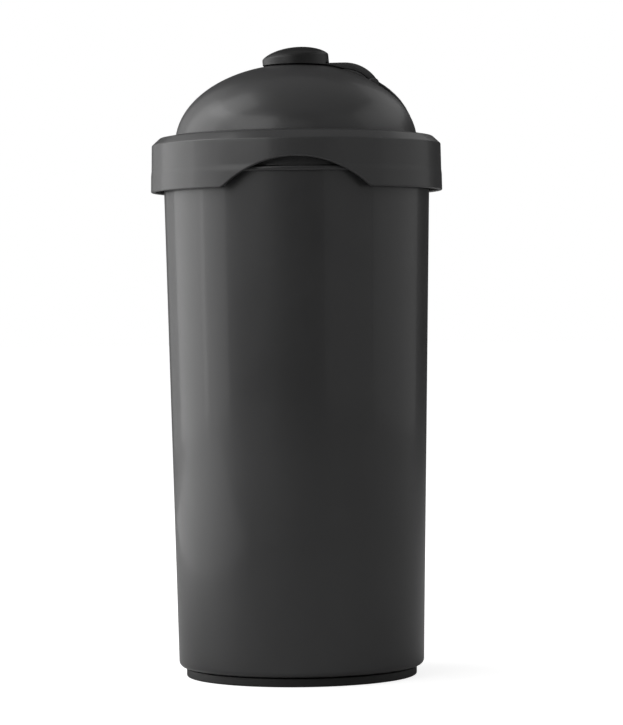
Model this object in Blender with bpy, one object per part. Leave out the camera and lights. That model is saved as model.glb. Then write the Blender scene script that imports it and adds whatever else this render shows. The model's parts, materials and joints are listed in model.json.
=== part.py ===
"""Protein shaker bottle, standing upright: a tapered cup on a rubber foot, closed by a two-start screw lid.

The lid carries a domed top with a low drinking spout, a seal ring, a mixing strainer, and a flip cap: a black knob
with a soft plug on a bowed arm, which turns on a steel pin in a raised saddle on the lid's +X side. Grip arches are
cut in the lid's skirt at the front (-Y) and the back (+Y). Metres, +Z up, origin at the centre of the foot's bottom.
"""

import math

import bmesh
import bpy
from mathutils import Matrix, Vector

MM = 0.001

# Gaps between neighbouring pieces
FIT = 0.3 * MM                      # general gap between two seated pieces
SLIP = 0.4 * MM                     # gap where a piece slides or swings past another
PIN_CLEARANCE = 0.25 * MM           # radial, hinge pin in its holes

# Cup
CUP_HEIGHT = 170.0 * MM             # table to rim
CUP_TOP_RADIUS = 43.05 * MM         # outside, just under the neck bead
CUP_BASE_RADIUS = 39.8 * MM         # outside, just above the bottom corner
CUP_WALL = 1.7 * MM
NECK_WALL = 1.6 * MM
CUP_FLOOR = 2.1 * MM
CUP_CORNER = 2.0 * MM
CUP_INNER_CORNER = 5.0 * MM
NECK_STEP = 0.45 * MM               # neck radius below the body radius
BEAD_STAND = 0.95 * MM              # stop bead beyond the body radius
BEAD_HEIGHT = 1.6 * MM
EDGE = 0.4 * MM                     # small broken edges

# Foot ring, with a tongue that is pressed into a groove under the cup
FOOT_HEIGHT = 2.8 * MM
FOOT_INSET = 2.45 * MM
FOOT_WIDTH = 8.1 * MM
TONGUE_WIDTH = 3.0 * MM
TONGUE_HEIGHT = 2.2 * MM
BASE_RECESS = 1.9 * MM

# Two-start right-hand thread
THREAD_STARTS = 2
THREAD_LEAD = 8.0 * MM
THREAD_DEPTH = 1.4 * MM
THREAD_ROOT = 0.8 * MM              # half width of a ridge at its root
THREAD_TIP = 0.5 * MM               # half width at its tip
THREAD_BURY = 0.4 * MM              # how far a ridge goes into its wall
CUP_THREAD_START = -59.0            # degrees about +Z
CUP_THREAD_SWEEP = 170.0
LID_THREAD_SPANS = ((7.0, 76.0), (104.0, 151.0))   # degrees, broken at the grip arches
THREAD_TO_RIM = 0.5 * MM
THREAD_TO_BEAD = 0.92 * MM

# Lid
LID_WALL = 2.2 * MM
LID_THREAD_ROOM = 1.0 * MM          # cup thread tip to the skirt's inside
SKIRT_OVERLAP = 6.6 * MM            # skirt below the neck
SKIRT_STEP_HEIGHT = 6.1 * MM        # above the skirt's bottom edge
SKIRT_STEP = 0.14 * MM
SKIRT_DRAFT = 0.26 * MM
LID_CHAMFER_WIDTH = 2.6 * MM
LID_CHAMFER_HEIGHT = 2.4 * MM
LID_EDGE_DROP = 0.1 * MM            # chamfer start below the deck's underside
SHOULDER_WIDTH = 7.6 * MM           # skirt to dome
SHOULDER_RISE = 0.9 * MM
DOME_OFFSET = 0.5 * MM              # dome's widest level above the deck's underside
DOME_RISE = 25.6 * MM
DOME_WALL = 1.9 * MM
COLLAR_DROP = 5.1 * MM              # collar that holds the strainer
COLLAR_WALL = 1.4 * MM
COLLAR_ROOM = 0.7 * MM              # collar to the cup's mouth
ARCH_WIDTH = 47.0 * MM
ARCH_HEIGHT = 9.3 * MM
GASKET_THICKNESS = 1.2 * MM
GASKET_WIDTH = 3.2 * MM

# Strainer
STRAINER_RIM = 1.2 * MM
STRAINER_PLATE = 1.2 * MM
STRAINER_HOLE = 3.3 * MM            # hole radius
STRAINER_SPACING = 9.8 * MM
STRAINER_RINGS = 3

# Spout and cap
SPOUT_BORE = 6.0 * MM               # radius
SPOUT_WALL = 1.4 * MM
SPOUT_TAPER = 0.3 * MM
SPOUT_RISE = 1.6 * MM               # above the dome's crown
RING_ROOM = 0.5 * MM                # arm's ring to the spout
RING_WALL = 1.2 * MM
RING_HEIGHT = 1.1 * MM
KNOB_WALL = 1.35 * MM
KNOB_SIDE = 2.4 * MM                # side wall's height above the dome's crown
KNOB_CROWN = 3.1 * MM
KNOB_CROWN_START = 25.0             # degrees round the crown's ellipse where the side ends
KNOB_TILT = 5.2                     # degrees, +X side up, where the arm passes under it
PLUG_FLANGE = 0.6 * MM
PLUG_DEPTH = 1.2 * MM
PLUG_ROOM = 0.4 * MM
PLUG_TAPER = 0.7 * MM

# Cap arm and its hinge
HINGE_REACH = 25.2 * MM             # axis from the bottle's centre line, towards +X
HINGE_DEPTH = 0.95 * MM            # axis below the dome's surface
PIN_RADIUS = 0.8 * MM
BARREL_WALL = 0.65 * MM
ARM_WIDTH = 9.0 * MM
ARM_THICKNESS = 2.0 * MM
ARM_NECK = 0.6 * MM                 # thickness under the knob
ARM_BEND_RADIUS = 12.4 * MM         # outside of the bend
ARM_BEND_ANGLE = 60.0               # degrees from the crest to the barrel
ARM_BEND_START = 3.0 * MM           # where the underside leaves the dome, before the crest
LUG_WIDTH = 1.95 * MM
LUG_ROOM = 0.35 * MM                # lug to the arm's side
LUG_STAND = 0.1 * MM                # lug beyond the barrel
LUG_PROUD = 0.2 * MM                # lug's outer face beyond the saddle's side
PAD_STAND = 0.6 * MM                # saddle above the dome beyond the hinge
PAD_LENGTH = 10.0 * MM
PAD_TAIL_WIDTH = 8.0 * MM
POCKET_LENGTH = 4.8 * MM
BOSS_FLOOR = 1.85 * MM

ROUND = 48                          # sides of the large round pieces
MEDIUM_ROUND = 40                   # knob, plug and arm ring
SMALL_ROUND = 24                    # hinge

# Levels and radii that follow from the sizes above
THREAD_PITCH = THREAD_LEAD / THREAD_STARTS
BASE_Z = FOOT_HEIGHT + FIT
NECK_RADIUS = CUP_TOP_RADIUS - NECK_STEP
MOUTH_RADIUS = NECK_RADIUS - NECK_WALL
THREAD_RADIUS = NECK_RADIUS + THREAD_DEPTH
THREAD_RISE = THREAD_LEAD * CUP_THREAD_SWEEP / 360
THREAD_FIRST_Z = CUP_HEIGHT - THREAD_TO_RIM - THREAD_ROOT - THREAD_RISE
BEAD_TOP_Z = THREAD_FIRST_Z - THREAD_ROOT - THREAD_TO_BEAD
BEAD_RADIUS = CUP_TOP_RADIUS + BEAD_STAND
SKIRT_INNER = THREAD_RADIUS + LID_THREAD_ROOM
SKIRT_RADIUS = SKIRT_INNER + LID_WALL
SKIRT_Z = BEAD_TOP_Z - SKIRT_OVERLAP
DECK_Z = CUP_HEIGHT + GASKET_THICKNESS + 2 * FIT
LID_TOP_RADIUS = SKIRT_RADIUS - SKIRT_DRAFT - SKIRT_STEP
DOME_RADIUS = LID_TOP_RADIUS - SHOULDER_WIDTH
DOME_Z = DECK_Z + DOME_OFFSET
CROWN_Z = DOME_Z + DOME_RISE
COLLAR_RADIUS = MOUTH_RADIUS - COLLAR_ROOM
COLLAR_INNER = COLLAR_RADIUS - COLLAR_WALL
FOOT_RADIUS = CUP_BASE_RADIUS - FOOT_INSET
SPOUT_RADIUS = SPOUT_BORE + SPOUT_WALL
SPOUT_Z = CROWN_Z + SPOUT_RISE
RING_INNER = SPOUT_RADIUS + RING_ROOM
RING_RADIUS = RING_INNER + RING_WALL
KNOB_INNER = RING_RADIUS + FIT
KNOB_RADIUS = KNOB_INNER + KNOB_WALL
BARREL_RADIUS = PIN_RADIUS + PIN_CLEARANCE + BARREL_WALL
LUG_GAP = ARM_WIDTH / 2 + LUG_ROOM           # half the space between the lugs
SADDLE_HALF = LUG_GAP + LUG_WIDTH
LUG_FACE = SADDLE_HALF + LUG_PROUD


def dome_z(x):
    """Height of the dome's outside at a distance x from the centre line."""
    return DOME_Z + DOME_RISE * math.sqrt(1 - (x / DOME_RADIUS) ** 2)


HINGE = Vector((HINGE_REACH, 0, dome_z(HINGE_REACH) - HINGE_DEPTH))
BEND_TO_HINGE = ARM_BEND_RADIUS - BARREL_RADIUS
BEND = Vector((HINGE.x - BEND_TO_HINGE * math.sin(math.radians(ARM_BEND_ANGLE)), 0,
               HINGE.z - BEND_TO_HINGE * math.cos(math.radians(ARM_BEND_ANGLE))))


def arc(cx, cz, radius, start, end, steps):
    """Points on a circle from one angle to another, in degrees from +X towards +Z."""
    angles = (math.radians(start + (end - start) * i / steps) for i in range(steps + 1))
    return [(cx + radius * math.cos(a), cz + radius * math.sin(a)) for a in angles]


def ellipse(radius, rise, base_z, start, end, steps):
    """Points on a dome's outline, from one parameter angle to another, in degrees."""
    angles = (math.radians(start + (end - start) * i / steps) for i in range(steps + 1))
    return [(radius * math.cos(a), base_z + rise * math.sin(a)) for a in angles]


def material(name, color, roughness, metallic=0.0):
    """A Principled material with one colour, reused when it exists."""
    found = bpy.data.materials.get(name)
    if found:
        return found
    made = bpy.data.materials.new(name)
    made.use_nodes = True
    shader = made.node_tree.nodes["Principled BSDF"]
    shader.inputs["Base Color"].default_value = (*color, 1)
    shader.inputs["Roughness"].default_value = roughness
    shader.inputs["Metallic"].default_value = metallic
    return made


def to_object(bm, name):
    """Turns a bmesh into an object with smooth shading and outward faces."""
    bmesh.ops.recalc_face_normals(bm, faces=bm.faces)
    mesh = bpy.data.meshes.new(name)
    bm.to_mesh(mesh)
    bm.free()
    mesh.shade_smooth()
    mesh.set_sharp_from_angle(angle=math.radians(30))
    made = bpy.data.objects.new(name, mesh)
    bpy.context.collection.objects.link(made)
    return made


def turned(name, outline, sides=ROUND):
    """Turns an outline of (radius, height) points about +Z.

    An outline that starts and ends on the axis gives a solid, and any other is closed into a ring.
    """
    bm = bmesh.new()
    verts = [bm.verts.new((r, 0, z)) for r, z in outline]
    edges = [bm.edges.new(pair) for pair in zip(verts, verts[1:])]
    if outline[0][0] > 0:
        edges.append(bm.edges.new((verts[-1], verts[0])))
    bmesh.ops.spin(bm, geom=verts + edges, cent=(0, 0, 0), axis=(0, 0, 1), angle=2 * math.pi,
                   steps=sides, use_merge=True)
    bmesh.ops.remove_doubles(bm, verts=bm.verts, dist=1e-6)
    return to_object(bm, name)


def prism(name, outline, half_width):
    """Extrudes an outline of (x, z) points to both sides of y = 0; half_width may be a function of x."""
    bm = bmesh.new()
    face = bm.faces.new([bm.verts.new((x, -1, z)) for x, z in outline])
    extruded = bmesh.ops.extrude_face_region(bm, geom=[face])["geom"]
    for vert in (item for item in extruded if isinstance(item, bmesh.types.BMVert)):
        vert.co.y = 1
    for vert in bm.verts:
        vert.co.y *= half_width(vert.co.x) if callable(half_width) else half_width
    return to_object(bm, name)


def rod(name, radius, centre, start, end, sides=SMALL_ROUND):
    """A round bar along Y through centre, from y = start to y = end."""
    bm = bmesh.new()
    place = Matrix.Translation((centre.x, (start + end) / 2, centre.z)) @ Matrix.Rotation(math.pi / 2, 4, "X")
    bmesh.ops.create_cone(bm, cap_ends=True, segments=sides, radius1=radius, radius2=radius,
                          depth=end - start, matrix=place)
    return to_object(bm, name)


def ridges(name, spans, root_radius, tip_radius, first_z):
    """Thread ridges over spans of degrees, on the helix that passes CUP_THREAD_START at first_z.

    Each end runs out into the wall, where the tip has come back to the root radius.
    """
    bm = bmesh.new()
    step = 360 / ROUND
    for low, high in spans:
        count = round((high - low) / step)
        rows = []
        for i in range(count + 1):
            degrees = low + (high - low) * i / count
            angle = math.radians(degrees)
            z = first_z + THREAD_LEAD * (degrees - CUP_THREAD_START) / 360
            grown = min(i, count - i, 2) / 2
            tip = root_radius + (tip_radius - root_radius) * max(grown, 0.1)
            section = ((root_radius, -THREAD_ROOT), (tip, -THREAD_TIP), (tip, THREAD_TIP), (root_radius, THREAD_ROOT))
            rows.append([bm.verts.new((r * math.cos(angle), r * math.sin(angle), z + dz)) for r, dz in section])
        for here, there in zip(rows, rows[1:]):
            for k in range(4):
                bm.faces.new((here[k], here[(k + 1) % 4], there[(k + 1) % 4], there[k]))
        bm.faces.new(rows[0])
        bm.faces.new(rows[-1])
    return to_object(bm, name)


def combine(target, operation, *tools):
    """Adds Boolean modifiers to target; the tools are hidden construction shapes."""
    for tool in tools:
        tool.hide_render = True
        tool.display_type = "WIRE"
        modifier = target.modifiers.new(tool.name, "BOOLEAN")
        modifier.operation = operation
        modifier.object = tool


def cup_inner_radius(z):
    """Inside of the cup's tapered wall at a height."""
    low = BASE_Z + CUP_CORNER
    share = (z - low) / (CUP_HEIGHT - low)
    return CUP_BASE_RADIUS - CUP_WALL + share * (MOUTH_RADIUS - CUP_BASE_RADIUS + CUP_WALL)


def make_cup():
    """The tapered cup, with the foot's groove below, and the stop bead and the thread at its neck."""
    groove_out = FOOT_RADIUS - (FOOT_WIDTH - TONGUE_WIDTH) / 2 + FIT
    groove_in = groove_out - TONGUE_WIDTH - 2 * FIT
    groove_z = FOOT_HEIGHT + TONGUE_HEIGHT + FIT
    floor_z = groove_z + CUP_FLOOR
    recess = FOOT_RADIUS - FOOT_WIDTH - FIT
    recess_z = BASE_Z + BASE_RECESS
    bead_low = BEAD_TOP_Z - BEAD_HEIGHT
    inner_foot = cup_inner_radius(floor_z + CUP_INNER_CORNER)
    outline = [(0, recess_z), (recess - BASE_RECESS / 2, recess_z), (recess, BASE_Z),
               (groove_in, BASE_Z), (groove_in, groove_z), (groove_out, groove_z), (groove_out, BASE_Z)]
    outline += arc(CUP_BASE_RADIUS - CUP_CORNER, BASE_Z + CUP_CORNER, CUP_CORNER, -90, 0, 5)
    outline += [(CUP_TOP_RADIUS, bead_low), (BEAD_RADIUS - EDGE, bead_low), (BEAD_RADIUS, bead_low + EDGE),
                (BEAD_RADIUS, BEAD_TOP_Z - EDGE), (BEAD_RADIUS - EDGE, BEAD_TOP_Z), (NECK_RADIUS, BEAD_TOP_Z),
                (NECK_RADIUS, CUP_HEIGHT - EDGE), (NECK_RADIUS - EDGE, CUP_HEIGHT),
                (MOUTH_RADIUS + EDGE, CUP_HEIGHT), (MOUTH_RADIUS, CUP_HEIGHT - EDGE)]
    outline += arc(inner_foot - CUP_INNER_CORNER, floor_z + CUP_INNER_CORNER, CUP_INNER_CORNER, 0, -90, 5)
    outline += [(0, floor_z)]
    cup = turned("cup", outline)
    spans = [(CUP_THREAD_START + turn, CUP_THREAD_START + turn + CUP_THREAD_SWEEP) for turn in thread_turns()]
    # Every start repeats the same ridge, so each is built on the first start's helix and then turned.
    for n, (low, high) in enumerate(spans):
        first_z = THREAD_FIRST_Z - THREAD_LEAD * (low - CUP_THREAD_START) / 360
        combine(cup, "UNION", ridges(f"cup_thread_{n + 1}", [(low, high)],
                                     NECK_RADIUS - THREAD_BURY, THREAD_RADIUS, first_z))
    return cup


def thread_turns():
    """Degrees from the first thread start to each start."""
    return [360 * n / THREAD_STARTS for n in range(THREAD_STARTS)]


def make_foot_ring():
    """The rubber ring that the cup stands on, with its tongue."""
    inner = FOOT_RADIUS - FOOT_WIDTH
    tongue_out = FOOT_RADIUS - (FOOT_WIDTH - TONGUE_WIDTH) / 2
    tongue_in = tongue_out - TONGUE_WIDTH
    tongue_z = FOOT_HEIGHT + TONGUE_HEIGHT
    outline = [(inner, EDGE), (inner + EDGE, 0), (FOOT_RADIUS - EDGE, 0), (FOOT_RADIUS, EDGE),
               (FOOT_RADIUS, FOOT_HEIGHT - EDGE), (FOOT_RADIUS - EDGE, FOOT_HEIGHT),
               (tongue_out, FOOT_HEIGHT), (tongue_out, tongue_z), (tongue_in, tongue_z), (tongue_in, FOOT_HEIGHT),
               (inner + EDGE, FOOT_HEIGHT), (inner, FOOT_HEIGHT - EDGE)]
    return turned("foot_ring", outline)


def lid_outline():
    """The lid from its skirt's bottom edge, up outside, over the dome to the spout, and back inside."""
    step_z = SKIRT_Z + SKIRT_STEP_HEIGHT
    edge_z = DECK_Z - LID_EDGE_DROP
    half = SKIRT_DRAFT / 2
    shoulder_z = edge_z + LID_CHAMFER_HEIGHT
    inner_radius = DOME_RADIUS - DOME_WALL
    inner_rise = DOME_RISE - DOME_WALL
    foot = math.degrees(math.asin((shoulder_z + SHOULDER_RISE - DOME_Z) / DOME_RISE))
    top = math.degrees(math.acos(SPOUT_RADIUS / DOME_RADIUS))
    inner_top = math.degrees(math.acos(SPOUT_BORE / inner_radius))
    collar_z = DECK_Z - COLLAR_DROP
    outline = [(SKIRT_RADIUS - EDGE, SKIRT_Z), (SKIRT_RADIUS, SKIRT_Z + EDGE),
               (SKIRT_RADIUS - half, step_z), (SKIRT_RADIUS - half - SKIRT_STEP, step_z + SKIRT_STEP),
               (LID_TOP_RADIUS, edge_z), (LID_TOP_RADIUS - LID_CHAMFER_WIDTH, shoulder_z),
               (DOME_RADIUS + 2 * EDGE, shoulder_z + SHOULDER_RISE - EDGE)]
    outline += ellipse(DOME_RADIUS, DOME_RISE, DOME_Z, foot + 2, top, 16)
    outline += [(SPOUT_RADIUS - SPOUT_TAPER, SPOUT_Z - EDGE), (SPOUT_RADIUS - SPOUT_TAPER - EDGE, SPOUT_Z),
                (SPOUT_BORE + EDGE, SPOUT_Z), (SPOUT_BORE, SPOUT_Z - EDGE)]
    outline += ellipse(inner_radius, inner_rise, DOME_Z, inner_top, 0, 14)
    outline += [(inner_radius, DECK_Z), (COLLAR_INNER, DECK_Z), (COLLAR_INNER, collar_z),
                (COLLAR_RADIUS, collar_z), (COLLAR_RADIUS, DECK_Z), (SKIRT_INNER - 2 * EDGE, DECK_Z),
                (SKIRT_INNER, DECK_Z - 2 * EDGE), (SKIRT_INNER, SKIRT_Z + EDGE), (SKIRT_INNER + EDGE, SKIRT_Z)]
    return outline


def saddle_outline():
    """Side view of the raised saddle: under the arm's bend, round the hinge, and down the dome's side."""
    pad_radius = ARM_BEND_RADIUS - ARM_THICKNESS - SLIP
    pocket_radius = BARREL_RADIUS + SLIP
    boss_z = HINGE.z - pocket_radius - BOSS_FLOOR
    bury = DOME_WALL * 0.8
    inner_x = HINGE.x - pocket_radius
    last = math.degrees(math.asin((inner_x - BEND.x) / pad_radius))
    outline = arc(BEND.x, BEND.z, pad_radius, 107, 90 - last, 8)
    pad_start = HINGE.x + BARREL_RADIUS
    stands = ((0, 0.9), (0.35, 1.0), (0.7, 0.8), (1, -0.3))
    outline += [(pad_start + PAD_LENGTH * share, dome_z(pad_start + PAD_LENGTH * share) + stand * PAD_STAND)
                for share, stand in stands]
    tail = pad_start + PAD_LENGTH
    boss_in = inner_x - BOSS_FLOOR
    boss_out = HINGE.x + 2 * BARREL_RADIUS
    outline += [(tail, dome_z(tail) - bury), (tail - PAD_LENGTH / 2, dome_z(tail - PAD_LENGTH / 2) - bury),
                (boss_out, boss_z), (boss_in, boss_z), (boss_in, dome_z(boss_in) - bury),
                (outline[0][0], dome_z(outline[0][0]) - bury)]
    return outline


def saddle_half_width(x):
    """The saddle is as wide as its lugs as far as the hinge, and narrows down the dome's side."""
    pad_start = HINGE.x + BARREL_RADIUS
    share = min(max((x - pad_start) / PAD_LENGTH, 0), 1)
    return SADDLE_HALF + share * (PAD_TAIL_WIDTH / 2 - SADDLE_HALF)


def pocket_outline():
    """Side view of the space cut for the arm's barrel, open above and to the outside for the arm's swing."""
    radius = BARREL_RADIUS + SLIP
    low = HINGE.z - radius
    high = CROWN_Z + KNOB_SIDE
    return arc(HINGE.x, HINGE.z, radius, -90, -180, 6) + [
        (HINGE.x - radius, high), (HINGE.x + POCKET_LENGTH, high), (HINGE.x + POCKET_LENGTH, low)]


def arch_outline():
    """Front view of a grip arch: a shallow round arch over the skirt's bottom edge."""
    half = ARCH_WIDTH / 2
    radius = (half ** 2 + ARCH_HEIGHT ** 2) / (2 * ARCH_HEIGHT)
    lean = math.degrees(math.asin(half / radius))
    top = arc(0, SKIRT_Z + ARCH_HEIGHT - radius, radius, 90 - lean, 90 + lean, 28)
    below = SKIRT_Z - 4 * EDGE
    return top + [(-half - EDGE, below), (half + EDGE, below)]


def make_lid_shell():
    """The lid: skirt with its thread and grip arches, shoulder, dome, spout and hinge saddle."""
    lid = turned("lid_shell", lid_outline())
    lug_radius = BARREL_RADIUS + LUG_STAND
    combine(lid, "UNION", prism("saddle_block", saddle_outline(), saddle_half_width))
    combine(lid, "UNION", rod("hinge_lugs", lug_radius, HINGE, -LUG_FACE, LUG_FACE))
    wall = SKIRT_INNER + THREAD_BURY
    tip = NECK_RADIUS + SLIP
    for n, turn in enumerate(thread_turns()):
        first_z = THREAD_FIRST_Z - THREAD_PITCH / 2 - THREAD_LEAD * turn / 360
        spans = [(low + turn, high + turn) for low, high in LID_THREAD_SPANS]
        combine(lid, "UNION", ridges(f"lid_thread_{n + 1}", spans, wall, tip, first_z))
    combine(lid, "DIFFERENCE", prism("hinge_pocket", pocket_outline(), LUG_GAP))
    combine(lid, "DIFFERENCE",
            rod("pin_hole", PIN_RADIUS + PIN_CLEARANCE, HINGE, FIT - SADDLE_HALF, LUG_FACE + FIT))
    arch = prism("grip_arches", arch_outline(), SKIRT_RADIUS + EDGE)
    keep = turned("inside_the_skirt", [(0, 0), (SKIRT_INNER - EDGE, 0), (SKIRT_INNER - EDGE, CROWN_Z), (0, CROWN_Z)])
    combine(arch, "DIFFERENCE", keep)
    combine(lid, "DIFFERENCE", arch)
    return lid


def make_lid_gasket():
    """The silicone ring between the cup's rim and the lid's deck."""
    inner = COLLAR_RADIUS + SLIP
    outer = inner + GASKET_WIDTH
    low = CUP_HEIGHT + FIT
    high = low + GASKET_THICKNESS
    return turned("lid_gasket", [(inner, low + EDGE), (inner + EDGE, low), (outer - EDGE, low), (outer, low + EDGE),
                                 (outer, high - EDGE), (outer - EDGE, high), (inner + EDGE, high),
                                 (inner, high - EDGE)])


def hole_places():
    """Centres of the strainer's holes, on a triangular grid out to STRAINER_RINGS steps."""
    places = []
    rings = range(-STRAINER_RINGS, STRAINER_RINGS + 1)
    for i in rings:
        for j in rings:
            if abs(i + j) <= STRAINER_RINGS:
                places.append((STRAINER_SPACING * (i + j / 2), STRAINER_SPACING * j * math.sqrt(3) / 2))
    return places


def make_strainer():
    """The mixing strainer: a perforated plate in a thin rim, held inside the lid's collar."""
    radius = COLLAR_INNER - SLIP
    inner = radius - STRAINER_RIM
    low = DECK_Z - COLLAR_DROP + FIT
    plate = low + STRAINER_PLATE
    high = DECK_Z - SLIP
    strainer = turned("strainer", [(0, low), (radius - EDGE, low), (radius, low + EDGE), (radius, high),
                                   (inner, high), (inner, plate), (0, plate)])
    bm = bmesh.new()
    for x, y in hole_places():
        bmesh.ops.create_cone(bm, cap_ends=True, segments=10, radius1=STRAINER_HOLE, radius2=STRAINER_HOLE,
                              depth=4 * STRAINER_PLATE, matrix=Matrix.Translation((x, y, (low + plate) / 2)))
    combine(strainer, "DIFFERENCE", to_object(bm, "strainer_holes"))
    return strainer


def arm_outline():
    """Side view of the cap's arm: from under the knob, over the bend, and round the hinge barrel."""
    inner_bend = ARM_BEND_RADIUS - ARM_THICKNESS
    crest_z = BEND.z + ARM_BEND_RADIUS
    root_x = RING_INNER * 0.85
    neck_z = dome_z(KNOB_RADIUS) + SLIP
    low_z = dome_z(RING_INNER) + SLIP
    outline = [(root_x, low_z), (root_x, neck_z + ARM_NECK), (KNOB_RADIUS, neck_z + ARM_NECK)]
    for share in (0.25, 0.5, 0.75):
        x = KNOB_RADIUS + share * (BEND.x - KNOB_RADIUS)
        outline.append((x, crest_z - (crest_z - neck_z - ARM_NECK) * (1 - share) ** 2))
    outline += arc(BEND.x, BEND.z, ARM_BEND_RADIUS, 90, 90 - ARM_BEND_ANGLE, 10)
    reach = BEND_TO_HINGE
    meet = math.acos((reach ** 2 + inner_bend ** 2 - BARREL_RADIUS ** 2) / (2 * reach * inner_bend))
    inner_end = 90 - ARM_BEND_ANGLE + math.degrees(meet)
    corner = arc(BEND.x, BEND.z, inner_bend, inner_end, inner_end, 1)[0]
    corner_angle = math.degrees(math.atan2(corner[1] - HINGE.z, corner[0] - HINGE.x))
    outline += arc(HINGE.x, HINGE.z, BARREL_RADIUS, 90 - ARM_BEND_ANGLE, corner_angle - 360, 18)[1:-1]
    outline += arc(BEND.x, BEND.z, inner_bend, inner_end, 90, 8)
    leave_x = BEND.x - ARM_BEND_START
    outline += [(leave_x, dome_z(leave_x) + SLIP), (KNOB_RADIUS, neck_z)]
    return outline


def make_cap_arm():
    """The bowed arm: a ring round the spout, held in the knob, and a barrel on the hinge pin."""
    ring_z = dome_z(RING_INNER) + SLIP
    arm = prism("cap_arm", arm_outline(), ARM_WIDTH / 2)
    combine(arm, "UNION", turned("arm_ring", [(0, ring_z), (RING_RADIUS, ring_z), (RING_RADIUS, ring_z + RING_HEIGHT),
                                              (0, ring_z + RING_HEIGHT)], MEDIUM_ROUND))
    combine(arm, "DIFFERENCE", turned("arm_bore", [(0, DOME_Z), (RING_INNER, DOME_Z), (RING_INNER, SPOUT_Z),
                                                   (0, SPOUT_Z)], MEDIUM_ROUND))
    combine(arm, "DIFFERENCE", rod("arm_pin_hole", PIN_RADIUS + PIN_CLEARANCE, HINGE, -ARM_WIDTH, ARM_WIDTH))
    return arm


def make_cap_knob():
    """The black knob: a crowned cap, leaning up on the arm's side, hollow below for the ring and the plug."""
    side_z = CROWN_Z + KNOB_SIDE
    start = math.radians(KNOB_CROWN_START)
    rise = KNOB_CROWN / (1 - math.sin(start))
    bottom_z = dome_z(KNOB_INNER) + FIT
    roof_z = SPOUT_Z + FIT + PLUG_FLANGE + FIT
    flange = SPOUT_RADIUS + FIT
    outline = [(0, side_z - 2 * KNOB_CROWN), (KNOB_RADIUS, side_z - 2 * KNOB_CROWN)]
    outline += ellipse(KNOB_RADIUS / math.cos(start), rise, side_z - rise * math.sin(start),
                       KNOB_CROWN_START, 90, 9)[:-1] + [(0, side_z + KNOB_CROWN)]
    knob = turned("cap_knob", outline, MEDIUM_ROUND)
    pivot = Matrix.Translation((0, 0, side_z))
    knob.data.transform(pivot @ Matrix.Rotation(math.radians(-KNOB_TILT), 4, "Y") @ pivot.inverted())
    below = prism("knob_trim", [(-2 * KNOB_RADIUS, DOME_Z), (2 * KNOB_RADIUS, DOME_Z),
                                (2 * KNOB_RADIUS, bottom_z), (-2 * KNOB_RADIUS, bottom_z)], 2 * KNOB_RADIUS)
    hollow = turned("knob_hollow", [(0, DOME_Z), (KNOB_INNER, DOME_Z), (KNOB_INNER, SPOUT_Z),
                                    (flange, SPOUT_Z + PLUG_FLANGE), (flange, roof_z), (0, roof_z)], MEDIUM_ROUND)
    notch_z = dome_z(KNOB_RADIUS) + SLIP + ARM_NECK + SLIP
    notch = prism("knob_notch", [(SPOUT_BORE, DOME_Z), (2 * KNOB_RADIUS, DOME_Z),
                                 (2 * KNOB_RADIUS, notch_z), (SPOUT_BORE, notch_z)], LUG_GAP)
    combine(knob, "DIFFERENCE", below, hollow, notch)
    return knob


def make_spout_plug():
    """The silicone plug under the knob: a flange over the spout's lip and a short stopper in its bore."""
    flange_z = SPOUT_Z + FIT
    flange = SPOUT_RADIUS - FIT / 2
    stopper = SPOUT_BORE - PLUG_ROOM
    return turned("spout_plug", [(0, SPOUT_Z - PLUG_DEPTH), (stopper - PLUG_TAPER, SPOUT_Z - PLUG_DEPTH),
                                 (stopper, flange_z), (flange, flange_z), (flange, flange_z + PLUG_FLANGE),
                                 (0, flange_z + PLUG_FLANGE)], MEDIUM_ROUND)


def make_hinge_pin():
    """The steel pin, pushed in from the back and stopped by the front lug."""
    return rod("hinge_pin", PIN_RADIUS, HINGE, 2 * FIT - SADDLE_HALF, SADDLE_HALF - FIT)


def hold(name, place, *pieces):
    """Parents pieces to an empty on the axis that they move about or along, where they stand."""
    axis = bpy.data.objects.new(name, None)
    axis.location = place
    bpy.context.collection.objects.link(axis)
    bpy.context.view_layer.update()
    for piece in pieces:
        piece.parent = axis
        piece.matrix_parent_inverse = axis.matrix_world.inverted()
    return axis


def main():
    """Builds every piece, paints it, and hangs the moving ones on their axes."""
    for old in list(bpy.data.objects):
        bpy.data.objects.remove(old)
    charcoal = material("charcoal_plastic", (0.052, 0.052, 0.053), 0.42)
    black = material("black_soft_plastic", (0.012, 0.012, 0.012), 0.6)
    silicone = material("grey_silicone", (0.30, 0.30, 0.31), 0.5)
    grid = material("strainer_plastic", (0.10, 0.10, 0.105), 0.45)
    steel = material("steel", (0.62, 0.62, 0.63), 0.3, 1.0)
    cup = make_cup()
    foot = make_foot_ring()
    lid = make_lid_shell()
    gasket = make_lid_gasket()
    strainer = make_strainer()
    arm = make_cap_arm()
    knob = make_cap_knob()
    plug = make_spout_plug()
    pin = make_hinge_pin()
    finishes = ((cup, charcoal), (foot, black), (lid, charcoal), (gasket, silicone), (strainer, grid),
                (arm, charcoal), (knob, black), (plug, silicone), (pin, steel))
    for piece, finish in finishes:
        piece.data.materials.append(finish)
    lid_axis = hold("lid_axis", (0, 0, SKIRT_Z), lid, gasket, strainer, pin)
    cap_axis = hold("cap_axis", HINGE, arm, knob, plug)
    cap_axis.parent = lid_axis
    cap_axis.matrix_parent_inverse = lid_axis.matrix_world.inverted()
    foot.parent = cup


main()
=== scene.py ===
# %% [markdown]
# # A protein shaker bottle
# A shaker is a tapered plastic cup with a screw lid. The lid is domed, so that the drink has room to
# splash, and it carries a small spout under a knob on a hinged arm. We load the model as a fixed frame,
# then build each visible piece again with a finer surface, in exactly the same place.

# %% Load the frame
import json
import math

import bmesh
import bpy
from mathutils import Euler, Matrix, Vector


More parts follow.
